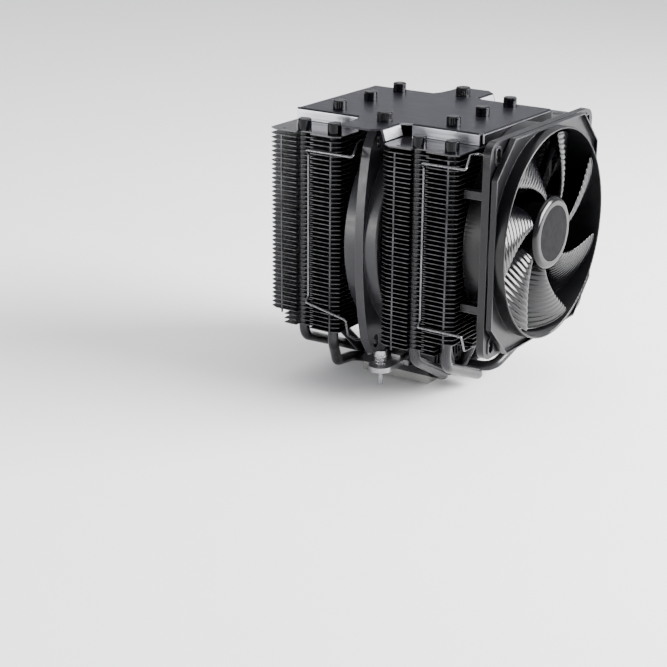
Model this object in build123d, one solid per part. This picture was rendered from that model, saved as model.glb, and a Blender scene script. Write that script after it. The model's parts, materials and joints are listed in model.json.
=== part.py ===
from build123d import *

import os
from math import cos, pi, radians, sin

# Twin-tower processor cooler. Millimetres, +Z up from the processor, +X out of the front fan, and the
# origin at the centre of the contact face. Mirror-image features lie at -Y and +Y.

# Fin towers
TOWER_GAP = 27.4
FIN_DEPTH = 46.7
FIN_WIDTH = 136.0
FIN_COUNT = 43
FIN_PITCH = 2.6
FIN_THICKNESS = 0.5
LOWEST_FIN_Z = 35.4
SHORT_FIN_COUNT = 3
SHORT_FIN_CUT = 10.4
CORNER_X, CORNER_Y = 4.5, 2.5
GROOVE_HALF_WIDTH, GROOVE_DEPTH = 4.7, 3.5
TAB_LENGTH, TAB_DEPTH = 1.0, 0.6
SIDE_TAB_X = (-14.8, 18.2)
FACE_TAB_Y = 34.0
TOWER_X = (TOWER_GAP + FIN_DEPTH) / 2
FIN_END_Y = FIN_WIDTH / 2
FIN_FACE_X = FIN_DEPTH / 2

# Plates over the towers
TOP_PLATE_TOP_Z, TOP_PLATE_THICKNESS = 148.2, 0.8
COVER_TOP_Z, COVER_THICKNESS = 155.0, 1.2
COVER_HALF_LENGTH, COVER_HALF_WIDTH = 60.2, 41.0
COVER_BEND = 1.4
SIDE_DROP, END_DROP = 5.2, 4.4
COVER_SLOT_DROP, COVER_SLOT_HEIGHT, COVER_SLOT_DEPTH = 5.1, 0.5, 0.6
TONGUE_REAR_X, TONGUE_FRONT_X, TONGUE_Y, TONGUE_CORNER = -14.6, 10.4, 65.4, 4.0
TONGUE_DROP, TONGUE_TILT = 5.8, 18.0
REAR_WAIST_X, FRONT_WAIST_X = -18.5, 16.5

# Heat pipes
PIPE_RADIUS, PIPE_HOLE_RADIUS = 3.0, 3.06
PIPE_Z, PIPE_PITCH = 5.0, 6.4
INNER_PIPE_Y, OUTER_PIPE_Y = 32.0, 61.0
OUTER_PIPE_NEAR_X, OUTER_PIPE_FAR_X = -3.8, 16.2
CAP_RADIUS, CAP_BORE_DEPTH = 3.9, 3.0
RAISED_CAP_HEIGHT, LOWER_CAP_HEIGHT = 5.4, 6.2
PIPE_END, FLUSH_PIPE_END = 2.0, 0.2

# Base
BASE_HALF_X, BASE_HALF_Y = 22.5, 26.5
BASE_TOP_Z, CHANNEL_FLOOR_Z, CHANNEL_HALF_X = 20.0, 9.5, 11.5
BASE_FIN_THICKNESS, BASE_FIN_PITCH = 1.2, 3.4

# Mounting bridge and its captive screws
BRIDGE_THICKNESS, BRIDGE_HALF_WIDTH = 3.0, 10.0
SCREW_SPACING = 86.0
BRIDGE_HOLE_RADIUS, SCREW_RADIUS = 2.25, 2.0
SPRING_LENGTH, SPRING_RADIUS, SPRING_WIRE = 5.4, 3.1, 0.32
SPRING_TURNS = 3
WASHER_THICKNESS, WASHER_RADIUS = 0.8, 4.0
HEAD_HEIGHT, HEAD_RADIUS = 3.2, 3.8
SCREW_END_Z = 0.8
PLUG_RADIUS, PLUG_STEM_RADIUS, PLUG_HEIGHT, PLUG_STEM = 4.3, 3.3, 5.2, 1.7

# Front fan, on the front face of the front tower
FRONT_FAN_X, FRONT_FAN_Z = 60.7, 95.0
FRONT_FAN_SIZE, FRONT_FAN_DEPTH = 120.0, 24.7
FAN_HOLE_SPACING = 105.0
EAR_RADIUS, EAR_HOLE_WIDTH, EAR_HOLE_HEIGHT = 7.5, 4.6, 8.0
EAR_COLLAR_WIDTH, EAR_COLLAR_HEIGHT = 1.2, 0.7
CORNER_CUT, TRAY_DEPTH, TRAY_FLOOR, TRAY_RIM = 19.0, 3.2, 1.0, 0.8

# Middle fan, in the gap between the towers
MIDDLE_FAN_X, MIDDLE_FAN_Z = -11.0, 88.0
MIDDLE_FAN_DEPTH = 22.0
MIDDLE_RING_RADIUS, MIDDLE_RING_WALL = 66.5, 4.0
MIDDLE_HALF_WIDTH, MIDDLE_HALF_HEIGHT = 67.5, 64.5
MIDDLE_CORNER_Y, MIDDLE_CORNER_Z, MIDDLE_CORNER_CUT = 60.6, 55.5, 5.8
MIDDLE_HOLE_Y, MIDDLE_HOLE_Z = 52.5, 57.5

# Fan motors, the same in both fans; axial places are from the fan's rear face
HUB_RADIUS, HUB_WALL, HUB_REAR, HUB_ROUND = 21.0, 1.6, 4.2, 3.4
DISC_RADIUS, DISC_THICKNESS = 15.6, 0.8
CUP_WALL = 0.8
MAGNET_THICKNESS, MAGNET_START, MAGNET_END = 2.2, 5.6, 14.0
STATOR_RADIUS, STATOR_START, STATOR_END = 15.6, 6.4, 12.8
POLE_COUNT = 6
TUBE_RADIUS, BEARING_RADIUS, SHAFT_RADIUS = 5.6, 4.0, 1.5
RUNNING_CLEARANCE = 0.05
MOUNT_RADIUS, MOUNT_THICKNESS = 20.0, 2.6
BOARD_START, BOARD_THICKNESS = 3.4, 1.2

# Fan blades
BLADE_COUNT = 7
BLADE_THICKNESS = 1.3
BLADE_TIP_GAP = 1.0
ROOT_SPAN, TIP_SPAN = 27.0, 45.0
LEAD_SWEEP, SWEEP_POWER = 32.0, 1.4
FIRST_BLADE_ANGLE = 90.0

# Wire clips
WIRE_RADIUS = 0.7
CLIP_RUN_X, CLIP_RUN_Y, CLIP_SIDE_Y = 2.9, 66.9, 69.5

FRONT_END, BACK_END = 1, -1


def on_x(start, shape):
    """A sketch moved to the plane X = start, with its own x and y along +Y and +Z."""
    return Plane.YZ.offset(start) * shape


def tube(outer, inner, start, end):
    """A round tube along X."""
    return extrude(on_x(start, Circle(outer) - Circle(inner)), end - start)


def rod(radius, start, end):
    """A round bar along X."""
    return extrude(on_x(start, Circle(radius)), end - start)


def post(radius, low, high):
    """A round bar along Z."""
    return Pos(0, 0, low) * extrude(Circle(radius), high - low)


def block(low, high):
    """A box between two opposite corners."""
    size = [b - a for a, b in zip(low, high)]
    centre = [(a + b) / 2 for a, b in zip(low, high)]
    return Pos(*centre) * Box(*size)


def save(name, shape):
    """Writes one node's STEP file."""
    export_step(shape, f"parts/{name}.step")


def group(solids):
    """Separate solids that share one node."""
    return Compound(list(solids))


# Fin towers and their plates

def pipe_places():
    """The seven pipe holes of a tower, from the tower's centre."""
    raised = [(0.0, y) for y in (-INNER_PIPE_Y, 0.0, INNER_PIPE_Y)]
    lower = [(x, y) for y in (-OUTER_PIPE_Y, OUTER_PIPE_Y) for x in (OUTER_PIPE_NEAR_X, OUTER_PIPE_FAR_X)]
    return raised, lower


def fin_outline():
    """A fin's plan: a rectangle with cut corners and a groove in the middle of each end."""
    quarter = [
        (FIN_FACE_X, FIN_END_Y - CORNER_Y),
        (FIN_FACE_X - CORNER_X, FIN_END_Y),
        (GROOVE_HALF_WIDTH, FIN_END_Y),
        (GROOVE_HALF_WIDTH, FIN_END_Y - GROOVE_DEPTH),
    ]
    left = [(-x, y) for x, y in reversed(quarter)]
    top = quarter + left
    bottom = [(-x, -y) for x, y in top]
    return make_face(Polyline(*top, *bottom, close=True))


def fin_sheet():
    """A fin's face with its pipe holes."""
    raised, lower = pipe_places()
    holes = Locations(*raised, *lower)
    return fin_outline() - [place * Circle(PIPE_HOLE_RADIUS) for place in holes.locations]


def fin_tabs(with_outer_tab, outer_sign):
    """Folded tabs along a fin's edges, which reach down almost to the next fin."""
    height = FIN_PITCH - FIN_THICKNESS - 0.15
    tabs = []
    for side in (-1, 1):
        for x in SIDE_TAB_X:
            if not with_outer_tab and x * outer_sign > FIN_FACE_X - SHORT_FIN_CUT - TAB_LENGTH:
                continue
            y = side * (FIN_END_Y - TAB_DEPTH / 2)
            tabs.append(Pos(x, y, -height / 2) * Box(TAB_LENGTH, TAB_DEPTH, height))
        for face in (-1, 1):
            if not with_outer_tab and face == outer_sign:
                continue
            x = face * (FIN_FACE_X - TAB_DEPTH / 2)
            tabs.append(Pos(x, side * FACE_TAB_Y, -height / 2) * Box(TAB_DEPTH, TAB_LENGTH, height))
    return tabs


def fin(outer_sign, short):
    """One fin with its underside at Z 0. A short fin stops before the tower's outer face at both ends."""
    sheet = fin_sheet()
    if short:
        strip = Rectangle(SHORT_FIN_CUT, 2 * (FIN_END_Y - INNER_PIPE_Y - 12))
        for end in (-1, 1):
            sheet -= Pos(outer_sign * (FIN_FACE_X - SHORT_FIN_CUT / 2), end * FIN_END_Y) * strip
    solid = extrude(sheet, FIN_THICKNESS)
    for tab in fin_tabs(not short, outer_sign):
        solid += tab
    return solid


def fin_stack(tower_x, outer_sign):
    """All the fins of one tower."""
    full = fin(outer_sign, False)
    short = fin(outer_sign, True)
    fins = []
    for index in range(FIN_COUNT):
        shape = short if index < SHORT_FIN_COUNT else full
        fins.append(Pos(tower_x, 0, LOWEST_FIN_Z + index * FIN_PITCH) * shape)
    return group(fins)


def top_plate(tower_x):
    """The end plate of a tower, with a small tooling hole beside each far corner."""
    sheet = fin_sheet()
    for end in (-1, 1):
        sheet -= Pos(-15.0, end * 64.6) * Circle(0.9)
    low = TOP_PLATE_TOP_Z - TOP_PLATE_THICKNESS
    return Pos(tower_x, 0, low) * extrude(sheet, TOP_PLATE_THICKNESS)


def cover_sheet():
    """The cover's flat part in plan; every edge but the ends and rear sides of its two tongues folds down."""
    side = COVER_HALF_WIDTH - COVER_BEND
    end = COVER_HALF_LENGTH - COVER_BEND
    rear, front = TONGUE_REAR_X, TONGUE_FRONT_X - COVER_BEND
    half = [
        (end, side),
        (FRONT_WAIST_X, side),
        (front, side + 3.0),
        (front, TONGUE_Y - TONGUE_CORNER),
        (front - TONGUE_CORNER, TONGUE_Y),
        (rear + 0.8, TONGUE_Y),
        (rear, TONGUE_Y - 1.5),
        (rear, side + 14.0),
        (rear - 1.6, side + 5.0),
        (REAR_WAIST_X, side),
        (-end, side),
    ]
    other = [(x, -y) for x, y in reversed(half)]
    return make_face(Polyline(*half, *other, close=True))


def folded_edge(length, drop, tilt):
    """A bent-down edge along +X, its outer face towards -Y and its top at Z 0, tilted out from upright."""
    centre = (COVER_BEND, -COVER_BEND)
    outer = CenterArc(centre, COVER_BEND, 90, 90 - tilt)
    inner = CenterArc(centre, COVER_BEND - COVER_THICKNESS, 90, 90 - tilt)
    down = Vector(-sin(radians(tilt)), -cos(radians(tilt))) * drop
    outer_low, inner_low = outer @ 1 + down, inner @ 1 + down
    profile = outer + Line(outer @ 1, outer_low) + Line(outer_low, inner_low)
    profile += Line(inner_low, inner @ 1) + inner + Line(inner @ 0, outer @ 0)
    return extrude(Plane.YZ * make_face(profile), length)


def slotted_edge(length):
    """A side edge, which has a long shallow slot pressed into its outer face."""
    edge = folded_edge(length, SIDE_DROP, 0)
    top = -COVER_SLOT_DROP
    slot = block((3.0, -1, top - COVER_SLOT_HEIGHT), (length - 2.0, COVER_SLOT_DEPTH, top))
    return edge - slot


def top_cover():
    """The raised cover: a flat sheet with folded edges, pipe holes and two driver access holes."""
    sheet = cover_sheet()
    raised, _ = pipe_places()
    for x, y in raised:
        for tower in (-TOWER_X, TOWER_X):
            sheet -= Pos(x + tower, y) * Circle(PIPE_HOLE_RADIUS)
    for end in (-1, 1):
        sheet -= Pos(0, end * SCREW_SPACING / 2) * Circle(PLUG_STEM_RADIUS + 0.3)
    cover = Pos(0, 0, COVER_TOP_Z - COVER_THICKNESS) * extrude(sheet, COVER_THICKNESS)
    for start, end in ((-COVER_HALF_LENGTH, REAR_WAIST_X), (FRONT_WAIST_X, COVER_HALF_LENGTH - 2.2)):
        edge = slotted_edge(end - start)
        near = Pos(start, -COVER_HALF_WIDTH, COVER_TOP_Z) * edge
        cover += near
        cover += mirror(near, about=Plane.XZ)
    end_half = COVER_HALF_WIDTH - COVER_BEND - 0.6
    for x, turn in ((COVER_HALF_LENGTH, 90), (-COVER_HALF_LENGTH, -90)):
        edge = folded_edge(2 * end_half, END_DROP, 0)
        cover += Pos(x, -end_half if turn > 0 else end_half, COVER_TOP_Z) * Rot(0, 0, turn) * edge
    low_y, high_y = COVER_HALF_WIDTH + 2.4, TONGUE_Y - TONGUE_CORNER
    edge = folded_edge(high_y - low_y, TONGUE_DROP, TONGUE_TILT)
    for start_y in (-high_y, low_y):
        cover += Pos(TONGUE_FRONT_X, start_y, COVER_TOP_Z) * Rot(0, 0, 90) * edge
    return cover


def pipe_cap(x, y, low, height):
    """A plain cap pushed over a pipe's end."""
    cap = post(CAP_RADIUS, low, low + height)
    cap = chamfer(cap.edges().group_by(Axis.Z)[-1], 0.5)
    cap -= post(PIPE_HOLE_RADIUS, low, low + CAP_BORE_DEPTH)
    return Pos(x, y, 0) * cap


def pipe_caps():
    """The caps above the cover, and the caps on the tower plates, which only the near side has."""
    raised, lower = pipe_places()
    upper_caps, lower_caps = [], []
    for tower in (-TOWER_X, TOWER_X):
        upper_caps += [pipe_cap(x + tower, y, COVER_TOP_Z, RAISED_CAP_HEIGHT) for x, y in raised]
        near = [(x + tower, y) for x, y in lower if y < 0]
        lower_caps += [pipe_cap(x, y, TOP_PLATE_TOP_Z, LOWER_CAP_HEIGHT) for x, y in near]
    return group(upper_caps), group(lower_caps)


# Heat pipes

def pipe_half(index, end):
    """The corners and bend radii of one end of a pipe, from the base out to its tip."""
    order = index - 4
    side = -1 if order < 0 else 1
    y = order * PIPE_PITCH
    tower = end * TOWER_X
    raised_tip = COVER_TOP_Z + PIPE_END
    lower_tip = TOP_PLATE_TOP_Z + (PIPE_END if side < 0 else FLUSH_PIPE_END)
    near = tower + (OUTER_PIPE_NEAR_X if end == FRONT_END else OUTER_PIPE_FAR_X)
    far = tower + (OUTER_PIPE_FAR_X if end == FRONT_END else OUTER_PIPE_NEAR_X)
    if order == 0:
        return [(end * 29.5, y, PIPE_Z), (tower, y, 24), (tower, y, raised_tip)], [9, 9]
    if abs(order) == 2:
        tip_y = side * INNER_PIPE_Y
        return [(end * 30, y, PIPE_Z), (tower, tip_y, 28), (tower, tip_y, raised_tip)], [8, 9]
    tip_y = side * OUTER_PIPE_Y
    if abs(order) == 1:
        turn_x = 46 if end == FRONT_END else -48
        return [(turn_x, y, PIPE_Z), (far, tip_y, 28), (far, tip_y, lower_tip)], [9, 9]
    if end == FRONT_END:
        return [(31, y, PIPE_Z), (near, tip_y, 28), (near, tip_y, lower_tip)], [8, 9]
    return [(-32, y, PIPE_Z), (-28, side * 46, 10), (near, tip_y, 27), (near, tip_y, lower_tip)], [8, 9, 9]


def heat_pipe(index):
    """One U-shaped pipe: up through the rear tower, along the base and up through the front tower."""
    front, front_radii = pipe_half(index, FRONT_END)
    back, back_radii = pipe_half(index, BACK_END)
    corners = list(reversed(back)) + front
    radii = list(reversed(back_radii)) + front_radii
    path = FilletPolyline(*corners, radius=radii)
    section = Plane(origin=corners[0], z_dir=(0, 0, -1)) * Circle(PIPE_RADIUS)
    return sweep(section, path=path)


# Base and mounting bridge

def pipe_grooves(radius):
    """Round bars along X where the pipes cross the base."""
    length = 2 * BASE_HALF_X + 2
    bar = Plane.YZ.offset(-length / 2) * Circle(radius)
    return [Pos(0, order * PIPE_PITCH, PIPE_Z) * extrude(bar, length) for order in range(-3, 4)]


def contact_plate():
    """The plated copper plate that lies on the processor, with half-round grooves in its top."""
    plate = block((-BASE_HALF_X, -BASE_HALF_Y, 0), (BASE_HALF_X, BASE_HALF_Y, PIPE_Z))
    plate = chamfer(plate.faces().sort_by(Axis.Z)[0].edges(), 0.4)
    for bar in pipe_grooves(PIPE_HOLE_RADIUS):
        plate -= bar
    return plate


def base_screw_places():
    """The four small screws that clamp the base block on the pipes."""
    x, y = BASE_HALF_X - 3.4, BASE_HALF_Y - 1.6
    return [(sx * x, sy * y) for sx in (-1, 1) for sy in (-1, 1)]


def base_block():
    """The finned upper half of the base, with a channel across it for the mounting bridge."""
    body = block((-BASE_HALF_X, -BASE_HALF_Y, PIPE_Z), (BASE_HALF_X, BASE_HALF_Y, CHANNEL_FLOOR_Z))
    for bar in pipe_grooves(PIPE_HOLE_RADIUS):
        body -= bar
    count = int((BASE_HALF_Y - 3.5) / BASE_FIN_PITCH)
    for side in (-1, 1):
        inner, outer = sorted((side * CHANNEL_HALF_X, side * BASE_HALF_X))
        for step in range(-count, count + 1):
            y = step * BASE_FIN_PITCH
            low = (inner, y - BASE_FIN_THICKNESS / 2, CHANNEL_FLOOR_Z)
            body += block(low, (outer, y + BASE_FIN_THICKNESS / 2, BASE_TOP_Z))
    for x, y in base_screw_places():
        body -= Pos(x, y, 0) * post(0.9, PIPE_Z, CHANNEL_FLOOR_Z)
    return body


def base_screws():
    """Four countersunk-size screws with heads on the base block."""
    screws = []
    for x, y in base_screw_places():
        screw = post(0.85, PIPE_Z, CHANNEL_FLOOR_Z) + post(1.5, CHANNEL_FLOOR_Z, CHANNEL_FLOOR_Z + 1.0)
        slot = block((-0.25, -1.2, CHANNEL_FLOOR_Z + 0.5), (0.25, 1.2, CHANNEL_FLOOR_Z + 1.2))
        screws.append(Pos(x, y, 0) * (screw - slot))
    return group(screws)


def mounting_bridge():
    """A steel bar across the base, wide over the block and narrower at its two screw ears."""
    ear = 7.0
    half = SCREW_SPACING / 2
    low = CHANNEL_FLOOR_Z
    outline = Rectangle(2 * BRIDGE_HALF_WIDTH, 2 * (BASE_HALF_Y + 2))
    outline += Rectangle(2 * ear, 2 * half)
    for end in (-1, 1):
        outline += Pos(0, end * half) * Circle(ear)
    for end in (-1, 1):
        outline -= Pos(0, end * half) * Circle(BRIDGE_HOLE_RADIUS)
    bar = extrude(outline, BRIDGE_THICKNESS)
    stiffener = block((-3, -BASE_HALF_Y, BRIDGE_THICKNESS), (3, BASE_HALF_Y, BRIDGE_THICKNESS + 1.2))
    return Pos(0, 0, low) * (bar + stiffener)


BRIDGE_TOP_Z = CHANNEL_FLOOR_Z + BRIDGE_THICKNESS
SPRING_LOW_Z = BRIDGE_TOP_Z + 0.1
WASHER_LOW_Z = SPRING_LOW_Z + SPRING_LENGTH + 0.1
HEAD_LOW_Z = WASHER_LOW_Z + WASHER_THICKNESS + 0.1


def mounting_screw():
    """A captive screw: cross-slotted head, shank through the bridge and a thinner threaded end."""
    head = post(HEAD_RADIUS, HEAD_LOW_Z, HEAD_LOW_Z + HEAD_HEIGHT)
    head = chamfer(head.edges().group_by(Axis.Z)[-1], 0.4)
    top = HEAD_LOW_Z + HEAD_HEIGHT
    for turn in (0, 90):
        head -= Rot(0, 0, turn) * block((-0.5, -2.4, top - 1.8), (0.5, 2.4, top + 1))
    neck_z = CHANNEL_FLOOR_Z - 1.4
    shank = post(SCREW_RADIUS, neck_z, HEAD_LOW_Z)
    thread = post(1.5, SCREW_END_Z, neck_z)
    return head + shank + thread


def retaining_ring():
    """The snap ring under the bridge that keeps the screw in it."""
    high = CHANNEL_FLOOR_Z - 0.3
    low = high - 0.8
    ring = post(3.6, low, high) - post(SCREW_RADIUS, low, high)
    return ring - block((0, -1.0, low - 1), (5, 1.0, high + 1))


def screw_washer():
    """The washer between the spring and the screw's head."""
    high = WASHER_LOW_Z + WASHER_THICKNESS
    return post(WASHER_RADIUS, WASHER_LOW_Z, high) - post(SCREW_RADIUS + 0.08, WASHER_LOW_Z, high)


def screw_spring():
    """A compression spring around the screw's shank."""
    height = SPRING_LENGTH - 2 * SPRING_WIRE
    helix = Helix(pitch=height / SPRING_TURNS, height=height, radius=SPRING_RADIUS)
    section = Plane(origin=helix @ 0, z_dir=helix % 0) * Circle(SPRING_WIRE)
    return Pos(0, 0, SPRING_LOW_Z + SPRING_WIRE) * sweep(section, path=helix, is_frenet=True)


def access_plug():
    """A round knurled plug that closes the driver hole over a mounting screw."""
    low = COVER_TOP_Z + 0.05
    plug = post(PLUG_RADIUS, low, low + PLUG_HEIGHT)
    plug = chamfer(plug.edges().group_by(Axis.Z)[-1], 0.5)
    flute_count = 24
    for index in range(flute_count):
        turn = Rot(0, 0, 360 / flute_count * index)
        plug -= turn * (Pos(PLUG_RADIUS + 0.25, 0, 0) * post(0.5, low + 1.2, low + PLUG_HEIGHT - 1.2))
    return plug + post(PLUG_STEM_RADIUS, low - PLUG_STEM, low)


# Fans

def motor_mount(strut_end, strut_count):
    """The disc that carries the motor, its bearing tube and the struts out to the ring."""
    mount = rod(MOUNT_RADIUS, 0, MOUNT_THICKNESS)
    for index in range(strut_count):
        angle = 360 / strut_count * (index + 0.5)
        arm = block((0, MOUNT_RADIUS - 2, -2.5), (MOUNT_THICKNESS, strut_end, 2.5))
        mount += Rot(angle, 0, 0) * arm
    mount += tube(TUBE_RADIUS, BEARING_RADIUS, MOUNT_THICKNESS, MAGNET_END + 1)
    return mount


def front_fan_frame():
    """The front frame: a ring with a flared lip, a square flange with ears and a tray with cut corners."""
    half = FRONT_FAN_SIZE / 2
    ring_outer, throat = half - 0.7, half - 2.7
    depth = FRONT_FAN_DEPTH
    lip_x, lip_low = depth - 0.6, ring_outer - 1.2
    lip = [
        Line((0, throat), (14, throat)),
        Spline((14, throat), (lip_x, lip_low), tangents=((1, 0), (1, 0.15))),
        ThreePointArc((lip_x, lip_low), (depth, ring_outer - 0.6), (lip_x, ring_outer)),
        Line((lip_x, ring_outer), (0, ring_outer)),
        Line((0, ring_outer), (0, throat)),
    ]
    frame = revolve(Plane.XY * make_face(Wire(lip)), Axis.X)
    square = RectangleRounded(FRONT_FAN_SIZE, FRONT_FAN_SIZE, EAR_RADIUS) - Circle(ring_outer - 0.2)
    reach = FAN_HOLE_SPACING / 2
    slot = RectangleRounded(EAR_HOLE_WIDTH, EAR_HOLE_HEIGHT, EAR_HOLE_WIDTH / 2 - 0.05)
    collar = offset(slot, EAR_COLLAR_WIDTH) - slot
    for sy in (-1, 1):
        for sz in (-1, 1):
            square -= Pos(sy * reach, sz * reach) * slot
            frame += extrude(on_x(15.0, Pos(sy * reach, sz * reach) * collar), EAR_COLLAR_HEIGHT)
    frame += extrude(on_x(10.6, square), 4.4)
    corners = [(half, half - CORNER_CUT), (half - CORNER_CUT, half)]
    quarter = corners + [(-y, z) for y, z in reversed(corners)]
    octagon = make_face(Polyline(*quarter, *[(-y, -z) for y, z in quarter], close=True))
    rim = octagon - offset(octagon, -TRAY_RIM, kind=Kind.INTERSECTION)
    frame += extrude(on_x(16.2, octagon - Circle(ring_outer - 0.2)), TRAY_FLOOR)
    frame += extrude(on_x(16.2, rim), TRAY_DEPTH)
    for side in (-1, 1):
        for height in (31.5, -31.5):
            rib = block((0, side * half - 5, height - 2.2), (10.8, side * half + 5, height + 2.2))
            outside = block((-1, -half, -half), (11, half, half)) - rod(ring_outer - 0.3, -2, 12)
            frame += rib & outside
    frame += motor_mount(throat + 0.6, 4)
    return Pos(FRONT_FAN_X, 0, FRONT_FAN_Z) * frame


def middle_fan_frame():
    """The middle frame: a round ring cut flat above and below, with a bowed flange round its middle."""
    side_y, side_z, top_z = MIDDLE_CORNER_Y, MIDDLE_CORNER_Z, MIDDLE_HALF_HEIGHT
    top_y = side_y - MIDDLE_CORNER_CUT
    bowed = [
        ThreePointArc((side_y, -side_z), (MIDDLE_HALF_WIDTH, 0), (side_y, side_z)),
        Line((side_y, side_z), (top_y, top_z)),
        Line((top_y, top_z), (-top_y, top_z)),
        Line((-top_y, top_z), (-side_y, side_z)),
        ThreePointArc((-side_y, side_z), (-MIDDLE_HALF_WIDTH, 0), (-side_y, -side_z)),
        Line((-side_y, -side_z), (-top_y, -top_z)),
        Line((-top_y, -top_z), (top_y, -top_z)),
        Line((top_y, -top_z), (side_y, -side_z)),
    ]
    inner = MIDDLE_RING_RADIUS - MIDDLE_RING_WALL
    depth = MIDDLE_FAN_DEPTH
    ring = tube(MIDDLE_RING_RADIUS, inner, 0, depth)
    ring = fillet(ring.edges().filter_by(GeomType.CIRCLE).sort_by(SortBy.RADIUS)[-2:], 1.2)
    ring &= block((-1, -80, -MIDDLE_HALF_HEIGHT), (depth + 1, 80, MIDDLE_HALF_HEIGHT))
    flange = make_face(Wire(bowed)) - Circle(inner + 1)
    slot = RectangleRounded(EAR_HOLE_WIDTH, EAR_HOLE_HEIGHT, EAR_HOLE_WIDTH / 2 - 0.05)
    for sy in (-1, 1):
        for sz in (-1, 1):
            flange -= Pos(sy * MIDDLE_HOLE_Y, sz * MIDDLE_HOLE_Z) * slot
    frame = ring + extrude(on_x(8.3, flange), 5.4)
    frame += motor_mount(inner + 1, 4)
    return Pos(MIDDLE_FAN_X, 0, MIDDLE_FAN_Z) * frame


def blade_angle(radius, tip, along):
    """The angle, in degrees, of a point on a blade: along runs from 0 at its leading edge to 1."""
    share = (radius - HUB_RADIUS) / (tip - HUB_RADIUS)
    span = ROOT_SPAN + (TIP_SPAN - ROOT_SPAN) * share ** 0.8
    bend = max(0.0, 1 - share)
    turn = share * along + (1 - share) * sin(pi / 2 * along)
    return FIRST_BLADE_ANGLE - LEAD_SWEEP * bend ** SWEEP_POWER - span * turn


def blade_depth(radius, tip, along, front, rear):
    """The axial place of the same point, between the blade's front and rear limits."""
    share = (radius - HUB_RADIUS) / (tip - HUB_RADIUS)
    drop = share * along ** 1.7 + (1 - share) * (1 - cos(pi / 2 * along))
    lead = front - 1.7 * (1 - share)
    return lead - (lead - rear - 3.2 * share) * drop


def fan_blade(tip, front, rear):
    """One thin twisted blade, from inside the hub's wall out to the tip radius."""
    radial_steps, chord_steps = 9, 9
    start, end = HUB_RADIUS - 1.2, tip + 1.0
    rows = []
    for i in range(radial_steps):
        radius = start + (end - start) * i / (radial_steps - 1)
        clipped = min(max(radius, HUB_RADIUS), tip)
        row = []
        for j in range(chord_steps):
            along = j / (chord_steps - 1)
            angle = radians(blade_angle(clipped, tip, along))
            depth = blade_depth(clipped, tip, along, front, rear)
            row.append(Vector(depth, radius * cos(angle), radius * sin(angle)))
        rows.append(row)
    sheet = Face.make_surface_from_array_of_points(rows)
    blade = thicken(sheet, BLADE_THICKNESS / 2, both=True)
    return blade & tube(tip, HUB_RADIUS - 0.9, rear - 4, front + 4)


def fan_rotor(tip, front, rear, hub_front):
    """The hub and its blades."""
    hub = rod(HUB_RADIUS, HUB_REAR, hub_front)
    hub = fillet(hub.edges().sort_by(Axis.X)[-1], HUB_ROUND)
    hub -= rod(HUB_RADIUS - HUB_WALL, HUB_REAR, hub_front - 2.2)
    hub -= rod(DISC_RADIUS + 0.1, hub_front - DISC_THICKNESS, hub_front)
    blade = fan_blade(tip, front, rear)
    for index in range(BLADE_COUNT):
        hub += Rot(360 / BLADE_COUNT * index, 0, 0) * blade
    return hub


def rotor_inner_parts(hub_front):
    """The disc on the hub, the steel cup, the ring magnet and the shaft that turn with the hub."""
    disc = rod(DISC_RADIUS, hub_front - DISC_THICKNESS, hub_front)
    disc = chamfer(disc.edges().sort_by(Axis.X)[-1], 0.25)
    cup_outer = HUB_RADIUS - HUB_WALL - 0.05
    cup_inner = cup_outer - CUP_WALL
    cup_front = hub_front - 2.2
    cup = tube(cup_outer, cup_inner, HUB_REAR + 0.6, cup_front)
    cup += tube(cup_outer, SHAFT_RADIUS, cup_front - CUP_WALL, cup_front)
    magnet = tube(cup_inner, cup_inner - MAGNET_THICKNESS, MAGNET_START, MAGNET_END)
    shaft = rod(SHAFT_RADIUS, MOUNT_THICKNESS + 0.6, cup_front)
    return {"hub_disc": disc, "rotor_cup": cup, "ring_magnet": magnet, "shaft": shaft}


def stator_windings():
    """A coil around each arm of the stator."""
    windings = []
    for index in range(POLE_COUNT):
        coil = block(
            (STATOR_START - 1.2, TUBE_RADIUS + 2.6, -2.6), (STATOR_END + 1.2, STATOR_RADIUS - 2.0, 2.6)
        )
        hollow = block((STATOR_START - 0.1, TUBE_RADIUS, -1.3), (STATOR_END + 0.1, STATOR_RADIUS, 1.3))
        windings.append(Rot(360 / POLE_COUNT * index, 0, 0) * (coil - hollow))
    return windings


def stator_parts():
    """The sleeve bearing, laminated core and circuit board that stay with the frame."""
    bearing = tube(BEARING_RADIUS, SHAFT_RADIUS + RUNNING_CLEARANCE, MOUNT_THICKNESS + 0.2, MAGNET_END + 1)
    core = tube(TUBE_RADIUS + 2.2, TUBE_RADIUS, STATOR_START, STATOR_END)
    shoes = tube(STATOR_RADIUS, STATOR_RADIUS - 1.6, STATOR_START, STATOR_END)
    for index in range(POLE_COUNT):
        arm = block((STATOR_START, TUBE_RADIUS + 1, -1.2), (STATOR_END, STATOR_RADIUS - 0.8, 1.2))
        core += Rot(360 / POLE_COUNT * index, 0, 0) * arm
        gap = block((STATOR_START - 1, STATOR_RADIUS - 3, -0.7), (STATOR_END + 1, STATOR_RADIUS + 1, 0.7))
        shoes -= Rot(360 / POLE_COUNT * (index + 0.5), 0, 0) * gap
    board = tube(MOUNT_RADIUS - 6, TUBE_RADIUS + 0.1, BOARD_START, BOARD_START + BOARD_THICKNESS)
    return {
        "bearing": bearing,
        "stator_core": core + shoes,
        "circuit_board": board,
    }


def fan_parts(name, place, tip, front, rear, hub_front):
    """Writes every part of a fan but its frame."""
    save(f"{name}_fan_rotor", place * fan_rotor(tip, front, rear, hub_front))
    for part, shape in {**rotor_inner_parts(hub_front), **stator_parts()}.items():
        save(f"{name}_fan_{part}", place * shape)
    save(f"{name}_fan_stator_windings", group([place * winding for winding in stator_windings()]))


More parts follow.
